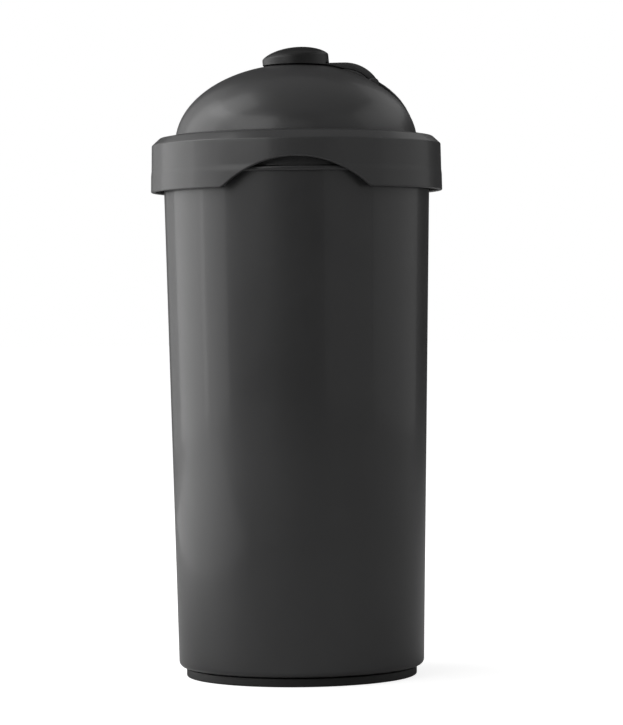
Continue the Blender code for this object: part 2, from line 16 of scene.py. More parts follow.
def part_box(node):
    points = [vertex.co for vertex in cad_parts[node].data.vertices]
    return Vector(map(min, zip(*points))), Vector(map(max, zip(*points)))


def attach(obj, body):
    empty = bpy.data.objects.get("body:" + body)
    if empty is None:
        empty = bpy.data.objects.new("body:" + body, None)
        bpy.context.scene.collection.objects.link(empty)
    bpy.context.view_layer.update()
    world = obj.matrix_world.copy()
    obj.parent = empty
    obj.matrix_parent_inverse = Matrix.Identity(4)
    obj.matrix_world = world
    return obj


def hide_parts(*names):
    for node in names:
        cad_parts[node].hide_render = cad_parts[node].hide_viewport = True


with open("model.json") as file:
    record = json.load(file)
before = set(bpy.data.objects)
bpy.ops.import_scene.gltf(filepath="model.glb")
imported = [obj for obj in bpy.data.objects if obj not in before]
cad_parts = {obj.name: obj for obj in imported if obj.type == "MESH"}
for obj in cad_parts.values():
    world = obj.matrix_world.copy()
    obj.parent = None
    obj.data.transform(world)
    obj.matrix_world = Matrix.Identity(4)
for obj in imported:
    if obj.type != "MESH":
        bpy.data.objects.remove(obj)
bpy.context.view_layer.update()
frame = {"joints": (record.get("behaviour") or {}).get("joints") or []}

# %% [markdown]
# ## Sizes
# Every place is read from the frame: the boxes of its pieces give the radii and levels, and its joint gives
# the hinge axis. What a box can't tell, such as a wall or a gap, is written here once, in millimetres.

# %% Levels and radii from the frame
MM = 0.001
cup_low, cup_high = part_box("cup")
foot_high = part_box("foot_ring")[1]
lid_low, lid_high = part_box("lid_shell")
seal_low, seal_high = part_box("lid_gasket")
grid_low, grid_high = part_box("strainer")
plug_low, plug_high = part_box("spout_plug")
pin_low, pin_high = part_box("hinge_pin")

RIM_Z = cup_high.z
BEAD_RADIUS = cup_high.x
BODY_RADIUS = BEAD_RADIUS - 0.95 * MM        # under the bead
NECK_RADIUS = BODY_RADIUS - 0.45 * MM
BASE_RADIUS = foot_high.x + 2.45 * MM        # just above the cup's bottom corner
CUP_WALL = 1.7 * MM
SKIRT_RADIUS = lid_high.x
SKIRT_Z = lid_low.z
SKIRT_INNER = SKIRT_RADIUS - 2.2 * MM
DECK_Z = seal_high.z + 0.3 * MM              # underside of the lid's deck
LID_TOP_RADIUS = SKIRT_RADIUS - 0.4 * MM
DOME_RADIUS = LID_TOP_RADIUS - 7.6 * MM
DOME_Z = DECK_Z + 0.5 * MM
SPOUT_Z = lid_high.z
CROWN_Z = SPOUT_Z - 1.6 * MM
DOME_RISE = CROWN_Z - DOME_Z
SPOUT_BORE = 6.0 * MM
SPOUT_RADIUS = 7.4 * MM
flip = next(joint for joint in frame["joints"] if joint["name"] == "cap_flip")
HINGE = Vector(flip["pos_m"])
print(f"rim at {RIM_Z / MM:.1f} mm, crown at {CROWN_Z / MM:.1f} mm,",
      f"hinge at x {HINGE.x / MM:.1f} z {HINGE.z / MM:.2f} mm")


# %% [markdown]
# ## Turning round pieces
# Most of the bottle is turned: an outline swept about the centre line. An outline here is a list of
# corners, each with its own fillet, because a moulded edge is never sharp. A `relief` function may move
# each point as it goes round, which is how the threads rise from the neck and the grip arches lift the
# skirt's edge.

# %% Outlines with rounded corners
SIDES = 320


def rounded(corners, steps=5):
    """Outline points from (radius, height, fillet) corners."""
    points = []
    for i, (x, z, fillet) in enumerate(corners):
        if not fillet:
            points.append((x, z))
            continue
        here = Vector((x, z))
        back = Vector(corners[i - 1][:2]) - here
        on = Vector(corners[(i + 1) % len(corners)][:2]) - here
        half = back.angle(on) / 2
        reach = min(fillet / math.tan(half), 0.49 * back.length, 0.49 * on.length)
        radius = reach * math.tan(half)
        centre = here + (back.normalized() + on.normalized()).normalized() * (radius / math.sin(half))
        first = here + back.normalized() * reach - centre
        turn = first.angle_signed(here + on.normalized() * reach - centre)
        for k in range(steps + 1):
            a = -turn * k / steps
            points.append((centre.x + first.x * math.cos(a) - first.y * math.sin(a),
                           centre.y + first.x * math.sin(a) + first.y * math.cos(a)))
    return points


def dome_points(radius, rise, base_z, start, end, steps):
    """Points on a half-ellipse dome between two parameter angles in degrees."""
    angles = (math.radians(start + (end - start) * i / steps) for i in range(steps + 1))
    return [(radius * math.cos(a), base_z + rise * math.sin(a)) for a in angles]


def rows(radius, low, high, step):
    """Points down or up a straight wall, close enough together to carry relief."""
    count = max(1, round(abs(high - low) / step))
    return [(radius, low + (high - low) * i / count) for i in range(count + 1)]


# %% Sweep an outline about the centre line
def to_object(bm, name, sharp=35):
    """Turns a bmesh into a smooth-shaded object with outward faces."""
    bmesh.ops.recalc_face_normals(bm, faces=bm.faces)
    mesh = bpy.data.meshes.new(name)
    bm.to_mesh(mesh)
    bm.free()
    mesh.shade_smooth()
    mesh.set_sharp_from_angle(angle=math.radians(sharp))
    made = bpy.data.objects.new(name, mesh)
    bpy.context.scene.collection.objects.link(made)
    return made


def turned(name, outline, sides=SIDES, relief=None, sharp=35):
    """Turns an outline about +Z; one that starts and ends on the axis is a solid, any other a ring."""
    bm = bmesh.new()
    columns = []
    for i in range(sides):
        angle = 2 * math.pi * i / sides
        points = [relief(r, z, angle) for r, z in outline] if relief else outline
        columns.append([bm.verts.new((r * math.cos(angle), r * math.sin(angle), z)) for r, z in points])
    ring = outline[0][0] > 0
    for here, there in zip(columns, columns[1:] + columns[:1]):
        for k in range(len(outline) if ring else len(outline) - 1):
            after = (k + 1) % len(outline)
            bm.faces.new((here[k], there[k], there[after], here[after]))
    bmesh.ops.remove_doubles(bm, verts=bm.verts, dist=2e-6)
    bmesh.ops.dissolve_degenerate(bm, edges=bm.edges, dist=1e-7)
    return to_object(bm, name, sharp)


# %% [markdown]
# ## Cutting and joining
# The hinge saddle, the arm and the knob aren't round all over. They are extruded side views, with their
# edges broken by a bevel, and joined or cut by Boolean modifiers that are applied at once.

# %% Extruded shapes and Booleans
def prism(name, outline, half_width, bevel=0.0):
    """Extrudes a side view of (x, z) points along Y; half_width may be a function of x."""
    bm = bmesh.new()
    face = bm.faces.new([bm.verts.new((x, -1, z)) for x, z in outline])
    made = bmesh.ops.extrude_face_region(bm, geom=[face])["geom"]
    for vert in (item for item in made if isinstance(item, bmesh.types.BMVert)):
        vert.co.y = 1
    for vert in bm.verts:
        vert.co.y *= half_width(vert.co.x) if callable(half_width) else half_width
    piece = to_object(bm, name)
    if bevel:
        edges = piece.modifiers.new("edges", "BEVEL")
        edges.width = bevel
        edges.segments = 4
        edges.limit_method = "ANGLE"
        edges.angle_limit = math.radians(50)
        edges.use_clamp_overlap = True
        settle(piece)
    return piece


def rod(name, radius, centre, start, end, sides=64, bevel=0.0):
    """A round bar along Y, from y = start to y = end, with broken ends."""
    outline = rounded([(0, start, 0), (radius, start, bevel), (radius, end, bevel), (0, end, 0)])
    piece = turned(name, outline, sides)
    lie_down = Matrix.Rotation(math.radians(-90), 4, "X")
    piece.data.transform(Matrix.Translation((centre.x, 0, centre.z)) @ lie_down)
    piece.data.update()
    return piece


def settle(piece):
    """Applies a piece's modifiers to its mesh."""
    bpy.context.view_layer.update()
    shape = piece.evaluated_get(bpy.context.evaluated_depsgraph_get())
    mesh = bpy.data.meshes.new_from_object(shape)
    piece.modifiers.clear()
    piece.data = mesh


def combine(piece, operation, *tools, sharp=35):
    """Joins tools to a piece, or cuts them from it, and removes them."""
    for tool in tools:
        step = piece.modifiers.new(tool.name, "BOOLEAN")
        step.operation = operation
        step.object = tool
        settle(piece)
        bpy.data.objects.remove(tool)
    piece.data.shade_smooth()
    piece.data.set_sharp_from_angle(angle=math.radians(sharp))
    return piece


def place(piece, body, node, finish):
    """Gives a piece its finish and puts it on its body, in place of the plain piece of the frame."""
    piece.data.materials.clear()
    piece.data.materials.append(finish)
    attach(piece, body)
    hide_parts(node)
    print(f"{piece.name}: {len(piece.data.polygons)} faces on {body}")
    return piece


# %% [markdown]
# ## Shared surface effects
# Moulded plastic is never one flat value. Three effects are built once as node groups and used by every
# finish: a fine grain from the mould's texture, a slow change of gloss where hands have polished it, and a
# paler line on convex edges, partly wear and partly a painted highlight. Each group only puts out colours,
# masks and heights; the shader stays in the material.

# %% A helper for node groups
def node_group(name, inputs, outputs):
    """An empty shader node group with named float or colour sockets."""
    group = bpy.data.node_groups.new(name, "ShaderNodeTree")
    for label, kind, value in inputs:
        made = group.interface.new_socket(name=label, in_out="INPUT", socket_type=kind)
        made.default_value = value
    for label, kind in outputs:
        group.interface.new_socket(name=label, in_out="OUTPUT", socket_type=kind)
    entry = group.nodes.new("NodeGroupInput")
    exit_ = group.nodes.new("NodeGroupOutput")
    return group, entry, exit_


def add(tree, kind, **values):
    """A node with its properties and unlinked inputs set by name."""
    node = tree.nodes.new(kind)
    for label, value in values.items():
        if hasattr(node, label):
            setattr(node, label, value)
        else:
            node.inputs[label.replace("_", " ").title()].default_value = value
    return node


# %% Mould grain: tiny pits and bumps
def build_grain():
    group, entry, exit_ = node_group(
        "mould_grain",
        [("Scale", "NodeSocketFloat", 2600.0), ("Coarse", "NodeSocketFloat", 0.35)],
        [("Height", "NodeSocketFloat"), ("Mask", "NodeSocketFloat")])
    links = group.links
    where = add(group, "ShaderNodeTexCoord")
    fine = add(group, "ShaderNodeTexNoise", Detail=3.0, Roughness=0.6)
    slow = add(group, "ShaderNodeTexNoise", Detail=2.0, Roughness=0.5)
    smaller = add(group, "ShaderNodeMath", operation="MULTIPLY")
    smaller.inputs[1].default_value = 0.22
    mix = add(group, "ShaderNodeMix", data_type="FLOAT")
    links.new(where.outputs["Object"], fine.inputs["Vector"])
    links.new(where.outputs["Object"], slow.inputs["Vector"])
    links.new(entry.outputs["Scale"], fine.inputs["Scale"])
    links.new(entry.outputs["Scale"], smaller.inputs[0])
    links.new(smaller.outputs[0], slow.inputs["Scale"])
    links.new(entry.outputs["Coarse"], mix.inputs["Factor"])
    links.new(fine.outputs["Fac"], mix.inputs["A"])
    links.new(slow.outputs["Fac"], mix.inputs["B"])
    links.new(mix.outputs["Result"], exit_.inputs["Height"])
    links.new(slow.outputs["Fac"], exit_.inputs["Mask"])
    return group


grain = build_grain()
print("group:", grain.name)


# %% Handling: slow changes of gloss and shade
def build_handling():
    group, entry, exit_ = node_group(
        "handling",
        [("Scale", "NodeSocketFloat", 28.0), ("Low", "NodeSocketFloat", 0.36),
         ("High", "NodeSocketFloat", 0.44)],
        [("Roughness", "NodeSocketFloat"), ("Shade", "NodeSocketFloat")])
    links = group.links
    where = add(group, "ShaderNodeTexCoord")
    cloud = add(group, "ShaderNodeTexNoise", Detail=4.0, Roughness=0.55, Distortion=0.6)
    spread = add(group, "ShaderNodeMapRange")
    shade = add(group, "ShaderNodeMapRange")
    for node in (spread, shade):
        node.inputs["From Min"].default_value = 0.32
        node.inputs["From Max"].default_value = 0.68
    shade.inputs["To Min"].default_value = 0.94
    shade.inputs["To Max"].default_value = 1.06
    links.new(where.outputs["Object"], cloud.inputs["Vector"])
    links.new(entry.outputs["Scale"], cloud.inputs["Scale"])
    links.new(cloud.outputs["Fac"], spread.inputs["Value"])
    links.new(cloud.outputs["Fac"], shade.inputs["Value"])
    links.new(entry.outputs["Low"], spread.inputs["To Min"])
    links.new(entry.outputs["High"], spread.inputs["To Max"])
    links.new(spread.outputs["Result"], exit_.inputs["Roughness"])
    links.new(shade.outputs["Result"], exit_.inputs["Shade"])
    return group


handling = build_handling()
print("group:", handling.name)


# %% Edge wear and painted highlight: a paler line on convex edges
def build_edge_wear_and_highlight():
    group, entry, exit_ = node_group(
        "edge_wear_and_highlight",
        [("Color", "NodeSocketColor", (0.05, 0.05, 0.05, 1)), ("Worn and highlight", "NodeSocketColor", (0.1, 0.1, 0.1, 1)),
         ("Amount", "NodeSocketFloat", 0.4), ("Shade", "NodeSocketFloat", 1.0)],
        [("Color", "NodeSocketColor"), ("Mask", "NodeSocketFloat")])
    links = group.links
    shape = add(group, "ShaderNodeNewGeometry")
    where = add(group, "ShaderNodeTexCoord")
    breakup = add(group, "ShaderNodeTexNoise", Scale=160.0, Detail=4.0, Roughness=0.6)
    ridge = add(group, "ShaderNodeMapRange")
    ridge.inputs["From Min"].default_value = 0.52
    ridge.inputs["From Max"].default_value = 0.62
    patchy = add(group, "ShaderNodeMath", operation="MULTIPLY")
    strength = add(group, "ShaderNodeMath", operation="MULTIPLY", use_clamp=True)
    mix = add(group, "ShaderNodeMix", data_type="RGBA")
    tone = add(group, "ShaderNodeVectorMath", operation="SCALE")
    links.new(where.outputs["Object"], breakup.inputs["Vector"])
    # Convex edges, found by pointiness, are mixed towards the paler colour: partly rubbed wear, partly a
    # painted highlight.
    links.new(shape.outputs["Pointiness"], ridge.inputs["Value"])
    links.new(ridge.outputs["Result"], patchy.inputs[0])
    links.new(breakup.outputs["Fac"], patchy.inputs[1])
    links.new(patchy.outputs[0], strength.inputs[0])
    links.new(entry.outputs["Amount"], strength.inputs[1])
    links.new(strength.outputs[0], mix.inputs[0])
    links.new(entry.outputs["Color"], mix.inputs[6])
    links.new(entry.outputs["Worn and highlight"], mix.inputs[7])
    links.new(mix.outputs[2], tone.inputs[0])
    links.new(entry.outputs["Shade"], tone.inputs["Scale"])
    links.new(tone.outputs["Vector"], exit_.inputs["Color"])
    links.new(strength.outputs[0], exit_.inputs["Mask"])
    return group


edge_wear_and_highlight = build_edge_wear_and_highlight()
print("group:", edge_wear_and_highlight.name)


# %% [markdown]
# ## Finishes
# The cup and lid are charcoal polypropylene with a satin skin: a dark body with a broad, soft reflection.
# The knob and the foot are black and softer, so they scatter more. The seals are silicone, and the pin is
# drawn steel. One function places the three groups in each finish, with that finish's own values.

# %% Build a finish
def finish(name, color, worn_and_highlight_color, rough, grain_scale, bump, wear_and_highlight=0.4, specular=0.5, metallic=0.0, subsurface=0.0,
           coat=0.0):
    """A material: Principled shader fed by grain, handling, and edge wear with a painted edge highlight, each
    with this finish's values.
    """
    made = bpy.data.materials.new(name)
    made.use_nodes = True
    tree = made.node_tree
    shader = tree.nodes["Principled BSDF"]
    shader.inputs["Specular IOR Level"].default_value = specular
    shader.inputs["Metallic"].default_value = metallic
    shader.inputs["Subsurface Weight"].default_value = subsurface
    shader.inputs["Coat Weight"].default_value = coat
    shader.inputs["Coat Roughness"].default_value = 0.09
    pits = add(tree, "ShaderNodeGroup", node_tree=grain)
    pits.inputs["Scale"].default_value = grain_scale
    gloss = add(tree, "ShaderNodeGroup", node_tree=handling)
    gloss.inputs["Low"].default_value, gloss.inputs["High"].default_value = rough
    edges = add(tree, "ShaderNodeGroup", node_tree=edge_wear_and_highlight)
    # The paler edge colour is partly wear and partly a painted highlight.
    edges.inputs["Color"].default_value = (*color, 1)
    edges.inputs["Worn and highlight"].default_value = (*worn_and_highlight_color, 1)
    edges.inputs["Amount"].default_value = wear_and_highlight
    relief = add(tree, "ShaderNodeBump", Strength=bump, Distance=0.0001)
    tree.links.new(gloss.outputs["Shade"], edges.inputs["Shade"])
    tree.links.new(edges.outputs["Color"], shader.inputs["Base Color"])
    tree.links.new(gloss.outputs["Roughness"], shader.inputs["Roughness"])
    tree.links.new(pits.outputs["Height"], relief.inputs["Height"])
    tree.links.new(relief.outputs["Normal"], shader.inputs["Normal"])
    return made


# Each finish's second colour is its paler edge colour: wear together with a painted highlight.
charcoal = finish("charcoal_plastic", (0.030, 0.030, 0.0305), (0.09, 0.09, 0.09), (0.31, 0.37), 2600, 0.25,
                  coat=0.2)
lid_charcoal = finish("charcoal_plastic_lid", (0.036, 0.036, 0.0365), (0.10, 0.10, 0.10), (0.33, 0.39), 2600,
                      0.3, coat=0.1)
black_knob = finish("black_soft_plastic", (0.006, 0.006, 0.006), (0.04, 0.04, 0.04), (0.34, 0.46), 1500, 0.6,
                    specular=0.4)
foot_rubber = finish("black_rubber", (0.008, 0.008, 0.008), (0.03, 0.03, 0.03), (0.55, 0.68), 1800, 0.7,
                     wear_and_highlight=0.2)
silicone = finish("grey_silicone", (0.28, 0.28, 0.29), (0.34, 0.34, 0.35), (0.38, 0.5), 900, 0.15, wear_and_highlight=0.1,
                  subsurface=0.15)
grid_plastic = finish("strainer_plastic", (0.085, 0.085, 0.09), (0.15, 0.15, 0.15), (0.34, 0.42), 2200, 0.25)
steel = finish("drawn_steel", (0.60, 0.60, 0.61), (0.75, 0.75, 0.75), (0.24, 0.34), 3200, 0.2, metallic=1.0)
finishes = (charcoal, lid_charcoal, black_knob, foot_rubber, silicone, grid_plastic, steel)
print("finishes:", ", ".join(made.name for made in finishes))

# %% [markdown]
# ## Thread
# The lid screws on with two starts, eight millimetres a turn. A ridge follows a helix, so its height above
# the wall is worked out for each point of the neck from its distance to the helix, and fades at both ends.

# %% Thread relief
THREAD_LEAD = 8.0 * MM
THREAD_DEPTH = 1.4 * MM
THREAD_ROOT = 0.8 * MM
THREAD_TIP = 0.5 * MM
THREAD_START = -59.0
CUP_SWEEP = 170.0
LID_SPANS = ((7.0, 76.0), (104.0, 151.0))
THREAD_Z = RIM_Z - 0.5 * MM - THREAD_ROOT - THREAD_LEAD * CUP_SWEEP / 360
RUN_OUT = 9.0                                # degrees over which a ridge's end fades


def smooth(value):
    """Eases a value clamped to 0..1."""
    value = min(max(value, 0.0), 1.0)
    return value * value * (3 - 2 * value)


def ridge(angle, z, spans, first_z):
    """Share of a ridge's full height at an angle in degrees and a level, for two starts half a turn apart."""
    height = 0.0
    for start in (0, 180):
        for low, high in spans:
            along = (angle - start - low) % 360
            if along > high - low:
                continue
            centre = first_z + THREAD_LEAD * (low + along - THREAD_START) / 360
            side = (THREAD_ROOT - abs(z - centre)) / (THREAD_ROOT - THREAD_TIP)
            ends = smooth(along / RUN_OUT) * smooth((high - low - along) / RUN_OUT)
            height = max(height, smooth(side) * ends)
    return height


# %% [markdown]
# ## Cup
# The cup is injection moulded: a slight taper lets it leave the mould, a bead stops the lid, and the neck
# above the bead is a little smaller. Under it, a groove takes the foot ring's tongue. We turn one outline,
# from the middle of the base, up the outside, over the rim, and down the inside.

# %% Cup
BASE_Z = cup_low.z
BEAD_TOP = THREAD_Z - THREAD_ROOT - 0.92 * MM
BEAD_LOW = BEAD_TOP - 1.6 * MM
MOUTH_RADIUS = NECK_RADIUS - 1.6 * MM
TONGUE_OUT = foot_high.x - 2.55 * MM
TONGUE_IN = TONGUE_OUT - 3.0 * MM
GAP = 0.3 * MM
FLOOR_Z = foot_high.z + GAP + 2.1 * MM
WALL_STEPS = 40                              # rows up the cup's tapered wall


def cup_relief(r, z, angle):
    """Raises the thread on the neck."""
    if abs(r - NECK_RADIUS) < 0.01 * MM and BEAD_TOP < z < RIM_Z:
        spans = ((THREAD_START, THREAD_START + CUP_SWEEP),)
        r += THREAD_DEPTH * ridge(math.degrees(angle), z, spans, THREAD_Z)
    return r, z


def cup_outline():
    """Half section of the cup."""
    recess = foot_high.x - 8.4 * MM
    recess_z = BASE_Z + 1.9 * MM
    groove_z = foot_high.z + GAP
    below = rounded([(0, recess_z, 0), (recess - 1 * MM, recess_z, 0.6 * MM), (recess, BASE_Z, 0.4 * MM),
                     (TONGUE_IN - GAP, BASE_Z, 0.2 * MM), (TONGUE_IN - GAP, groove_z, 0.2 * MM),
                     (TONGUE_OUT + GAP, groove_z, 0.2 * MM), (TONGUE_OUT + GAP, BASE_Z, 0.2 * MM),
                     (BASE_RADIUS - 0.1 * MM, BASE_Z, 2.0 * MM), (BODY_RADIUS, BEAD_LOW, 0)], steps=8)
    low = below.pop()
    corner = below[-1]
    wall = [(corner[0] + (low[0] - corner[0]) * i / WALL_STEPS,
             corner[1] + (low[1] - corner[1]) * i / WALL_STEPS) for i in range(1, WALL_STEPS)]
    bead = rounded([(BODY_RADIUS, BEAD_LOW, 0.3 * MM), (BEAD_RADIUS, BEAD_LOW, 0.5 * MM),
                    (BEAD_RADIUS, BEAD_TOP, 0.5 * MM), (NECK_RADIUS, BEAD_TOP, 0.2 * MM),
                    (NECK_RADIUS, RIM_Z, 0)])[:-1]
    neck = rows(NECK_RADIUS, BEAD_TOP + 0.3 * MM, RIM_Z - 0.5 * MM, 0.16 * MM)
    inside = rounded([(NECK_RADIUS, RIM_Z - 1.0 * MM, 0), (NECK_RADIUS, RIM_Z, 0.45 * MM),
                      (MOUTH_RADIUS, RIM_Z, 0.45 * MM),
                      (BASE_RADIUS - CUP_WALL, FLOOR_Z, 5.0 * MM), (0, FLOOR_Z, 0)], steps=10)[1:]
    return below + wall + bead + neck + inside


cup = turned("cup_body", cup_outline(), relief=cup_relief)
place(cup, "cup_body", "cup", charcoal)

# %% [markdown]
# ## Foot ring
# A soft ring under the cup keeps it from sliding and muffles it on a table. It is pressed into the groove
# by its tongue. A turned ring with round edges is all it needs, with a coarser grain in its finish.

# %% Foot ring
inner = foot_high.x - 8.1 * MM
FOOT_TOP = BASE_Z - GAP
foot = turned("foot_ring_soft", rounded([
    (inner, 0, 0.4 * MM), (foot_high.x, 0, 0.5 * MM), (foot_high.x, FOOT_TOP, 0.4 * MM),
    (TONGUE_OUT, FOOT_TOP, 0.1 * MM), (TONGUE_OUT, foot_high.z, 0.3 * MM), (TONGUE_IN, foot_high.z, 0.3 * MM),
    (TONGUE_IN, FOOT_TOP, 0.1 * MM), (inner, FOOT_TOP, 0.4 * MM)]))
place(foot, "cup_body", "foot_ring", foot_rubber)

# %% [markdown]
# ## Lid
# The lid is one moulding: a skirt with the thread inside, a rounded shoulder, a dome, and a low spout. Two
# shallow arches are cut in the skirt's lower edge, front and back, to grip the lid by. Lifting the turned
# edge gives them a clean rounded lip, which a Boolean cut wouldn't.

# %% Grip arches and lid relief
ARCH_HALF = 23.5 * MM
ARCH_HEIGHT = 9.3 * MM
ARCH_RADIUS = (ARCH_HALF ** 2 + ARCH_HEIGHT ** 2) / (2 * ARCH_HEIGHT)
ARCH_SOFT = 0.2 * MM                         # how gently an arch meets the straight edge
EDGE = 0.45 * MM
LID_THREAD_DEPTH = SKIRT_INNER - NECK_RADIUS - 0.4 * MM
STEP_Z = SKIRT_Z + 6.1 * MM
LID_EDGE_Z = DECK_Z - 0.1 * MM               # where the top edge's chamfer starts
SHOULDER_Z = LID_EDGE_Z + 2.4 * MM


def arch_lift(angle):
    """How far the skirt's lower edge is lifted at an angle."""
    across = SKIRT_RADIUS * math.cos(angle)
    drop = ARCH_RADIUS - math.sqrt(max(ARCH_RADIUS ** 2 - across ** 2, 0))
    rise = ARCH_HEIGHT - drop
    return max(0.5 * (rise + math.sqrt(rise * rise + ARCH_SOFT ** 2)) - 0.02 * MM, 0)


def skirt_radius(z):
    """Outside of the skirt at a level: a slight draft, and a fine step part of the way up."""
    share = min(max((z - SKIRT_Z) / (LID_EDGE_Z - SKIRT_Z), 0), 1)
    return SKIRT_RADIUS - 0.26 * MM * share - 0.14 * MM * smooth((z - STEP_Z) / (2.0 * MM) + 0.5)


def lid_relief(r, z, angle):
    """Lifts the skirt's edge into the arches, and raises the thread inside."""
    if z > DECK_Z - 1.0 * MM or r < SKIRT_INNER - 1.0 * MM:
        return r, z
    lift = arch_lift(angle)
    raised = z + lift if z - SKIRT_Z < EDGE + 0.01 * MM else max(z, SKIRT_Z + EDGE + lift)
    if r > SKIRT_INNER + 1.0 * MM:
        r += skirt_radius(raised) - skirt_radius(z)
    elif abs(r - SKIRT_INNER) < 0.01 * MM:
        r -= LID_THREAD_DEPTH * ridge(math.degrees(angle), raised, LID_SPANS, THREAD_Z - THREAD_LEAD / 4)
    return r, raised


# %% Lid outline
COLLAR_RADIUS = MOUTH_RADIUS - 0.7 * MM
COLLAR_INNER = COLLAR_RADIUS - 1.4 * MM
COLLAR_Z = DECK_Z - 5.1 * MM


def lid_outline():
    """Half section of the lid: up the skirt's outside, over the dome, and back down the inside."""
    edge = rounded([(SKIRT_INNER, SKIRT_Z, EDGE), (SKIRT_RADIUS, SKIRT_Z, EDGE),
                    (SKIRT_RADIUS, SKIRT_Z + 2 * MM, 0)])[:-1]
    high = LID_EDGE_Z
    wall = [(skirt_radius(z), z) for _, z in rows(0, SKIRT_Z + EDGE, high - 0.8 * MM, 0.3 * MM)][1:]
    foot_angle = math.degrees(math.asin((SHOULDER_Z + 0.5 * MM - DOME_Z) / DOME_RISE))
    dome_foot = dome_points(DOME_RADIUS, DOME_RISE, DOME_Z, foot_angle, foot_angle, 1)[0]
    shoulder = rounded([(LID_TOP_RADIUS, high - 0.7 * MM, 0), (LID_TOP_RADIUS, high, 0.7 * MM),
                        (LID_TOP_RADIUS - 2.6 * MM, SHOULDER_Z, 1.2 * MM),
                        (DOME_RADIUS + 0.45 * MM, SHOULDER_Z + 0.8 * MM, 0.2 * MM),
                        (DOME_RADIUS + 0.25 * MM, SHOULDER_Z + 0.45 * MM, 0.1 * MM),
                        dome_foot + (0,)], steps=7)
    top = math.degrees(math.acos((SPOUT_RADIUS + 0.3 * MM) / DOME_RADIUS))
    dome = dome_points(DOME_RADIUS, DOME_RISE, DOME_Z, foot_angle, top, 56)[1:]
    spout = rounded([dome[-1] + (0,), (SPOUT_RADIUS, CROWN_Z - 0.45 * MM, 0.25 * MM),
                     (SPOUT_RADIUS - 0.3 * MM, SPOUT_Z, 0.45 * MM), (SPOUT_BORE, SPOUT_Z, 0.45 * MM),
                     (SPOUT_BORE, CROWN_Z - 1.5 * MM, 0)])[1:-1]
    inner_radius, inner_rise = DOME_RADIUS - 1.9 * MM, DOME_RISE - 1.9 * MM
    inner_top = math.degrees(math.acos(SPOUT_BORE / inner_radius))
    under = dome_points(inner_radius, inner_rise, DOME_Z, inner_top, 0, 24)
    collar = rounded([under[-1] + (0,), (inner_radius, DECK_Z, 0.2 * MM), (COLLAR_INNER, DECK_Z, 0.3 * MM),
                      (COLLAR_INNER, COLLAR_Z, 0.4 * MM), (COLLAR_RADIUS, COLLAR_Z, 0.4 * MM),
                      (COLLAR_RADIUS, DECK_Z, 0.3 * MM), (SKIRT_INNER - 0.1 * MM, DECK_Z, 0.8 * MM),
                      (SKIRT_INNER, DECK_Z - 1.6 * MM, 0)])[1:]
    inside = rows(SKIRT_INNER, DECK_Z - 1.8 * MM, SKIRT_Z + EDGE, 0.2 * MM)[:-1]
    return edge + wall + shoulder[1:] + dome + spout + under + collar + inside


lid = turned("lid_moulding", lid_outline(), relief=lid_relief)
print(f"lid: {len(lid.data.vertices)} points before the saddle")

# %% [markdown]
# ## Hinge saddle
# The arm turns on a pin between two lugs on a raised saddle, high on the dome's side. In the mould this is
# all one with the lid. Its side view is extruded, given round edges, joined to the dome, and then cut for
# the arm's barrel and the pin.

# %% Saddle, pocket and pin hole
ARM_HALF = 4.5 * MM
BARREL = 1.7 * MM
BEND_RADIUS = 12.4 * MM                      # outside of the arm's bend
BEND_ANGLE = math.radians(60)
ARM_THICK = 2.0 * MM
SWING = 0.4 * MM                             # gap round the moving arm
LUG_GAP = ARM_HALF + 0.35 * MM
SADDLE_HALF = LUG_GAP + 1.95 * MM
PAD_LENGTH = 10.0 * MM
# shares of the pad's length down the dome, with how far it stands above the dome there, in millimetres
PAD_STANDS = ((0, 0.54), (0.18, 0.58), (0.35, 0.6), (0.53, 0.56), (0.7, 0.48), (0.85, 0.2), (1, -0.18))
PIN_HOLE = 1.05 * MM
BEND = HINGE - (BEND_RADIUS - BARREL) * Vector((math.sin(BEND_ANGLE), 0, math.cos(BEND_ANGLE)))


def dome_z(x):
    """Height of the dome's outside at a distance from the centre line."""
    return DOME_Z + DOME_RISE * math.sqrt(1 - (x / DOME_RADIUS) ** 2)


def circle(centre, radius, start, end, steps):
    """Side-view points on a circle, in degrees from +X towards +Z."""
    angles = (math.radians(start + (end - start) * i / steps) for i in range(steps + 1))
    return [(centre.x + radius * math.cos(a), centre.z + radius * math.sin(a)) for a in angles]


def saddle_outline():
    """Side view: under the arm's bend, round the hinge, down the dome, and back inside the lid."""
    pocket = BARREL + SWING
    pad = BEND_RADIUS - ARM_THICK - SWING
    inner_x = HINGE.x - pocket
    last = math.degrees(math.asin((inner_x - BEND.x) / pad))
    outline = circle(BEND, pad, 107, 90 - last, 18)
    start = HINGE.x + BARREL
    for share, stand in PAD_STANDS:
        x = start + PAD_LENGTH * share
        outline.append((x, dome_z(x) + stand * MM))
    bury = 1.52 * MM
    tail = start + PAD_LENGTH
    boss_z = HINGE.z - pocket - 1.85 * MM
    boss_in = inner_x - 1.85 * MM
    outline += [(tail, dome_z(tail) - bury), (tail - PAD_LENGTH / 2, dome_z(tail - PAD_LENGTH / 2) - bury),
                (HINGE.x + 2 * BARREL, boss_z), (boss_in, boss_z), (boss_in, dome_z(boss_in) - bury),
                (outline[0][0], dome_z(outline[0][0]) - bury)]
    return outline


def saddle_width(x):
    """As wide as the lugs as far as the hinge, then narrower down the dome."""
    share = min(max((x - HINGE.x - BARREL) / PAD_LENGTH, 0), 1)
    return SADDLE_HALF + share * (4.0 * MM - SADDLE_HALF)


def pocket_outline():
    """Side view of the space for the barrel, open above and to the outside."""
    radius = BARREL + SWING
    high = SPOUT_Z + 5 * MM
    return circle(HINGE, radius, -90, -180, 16) + [
        (HINGE.x - radius, high), (HINGE.x + 4.8 * MM, high), (HINGE.x + 4.8 * MM, HINGE.z - radius)]


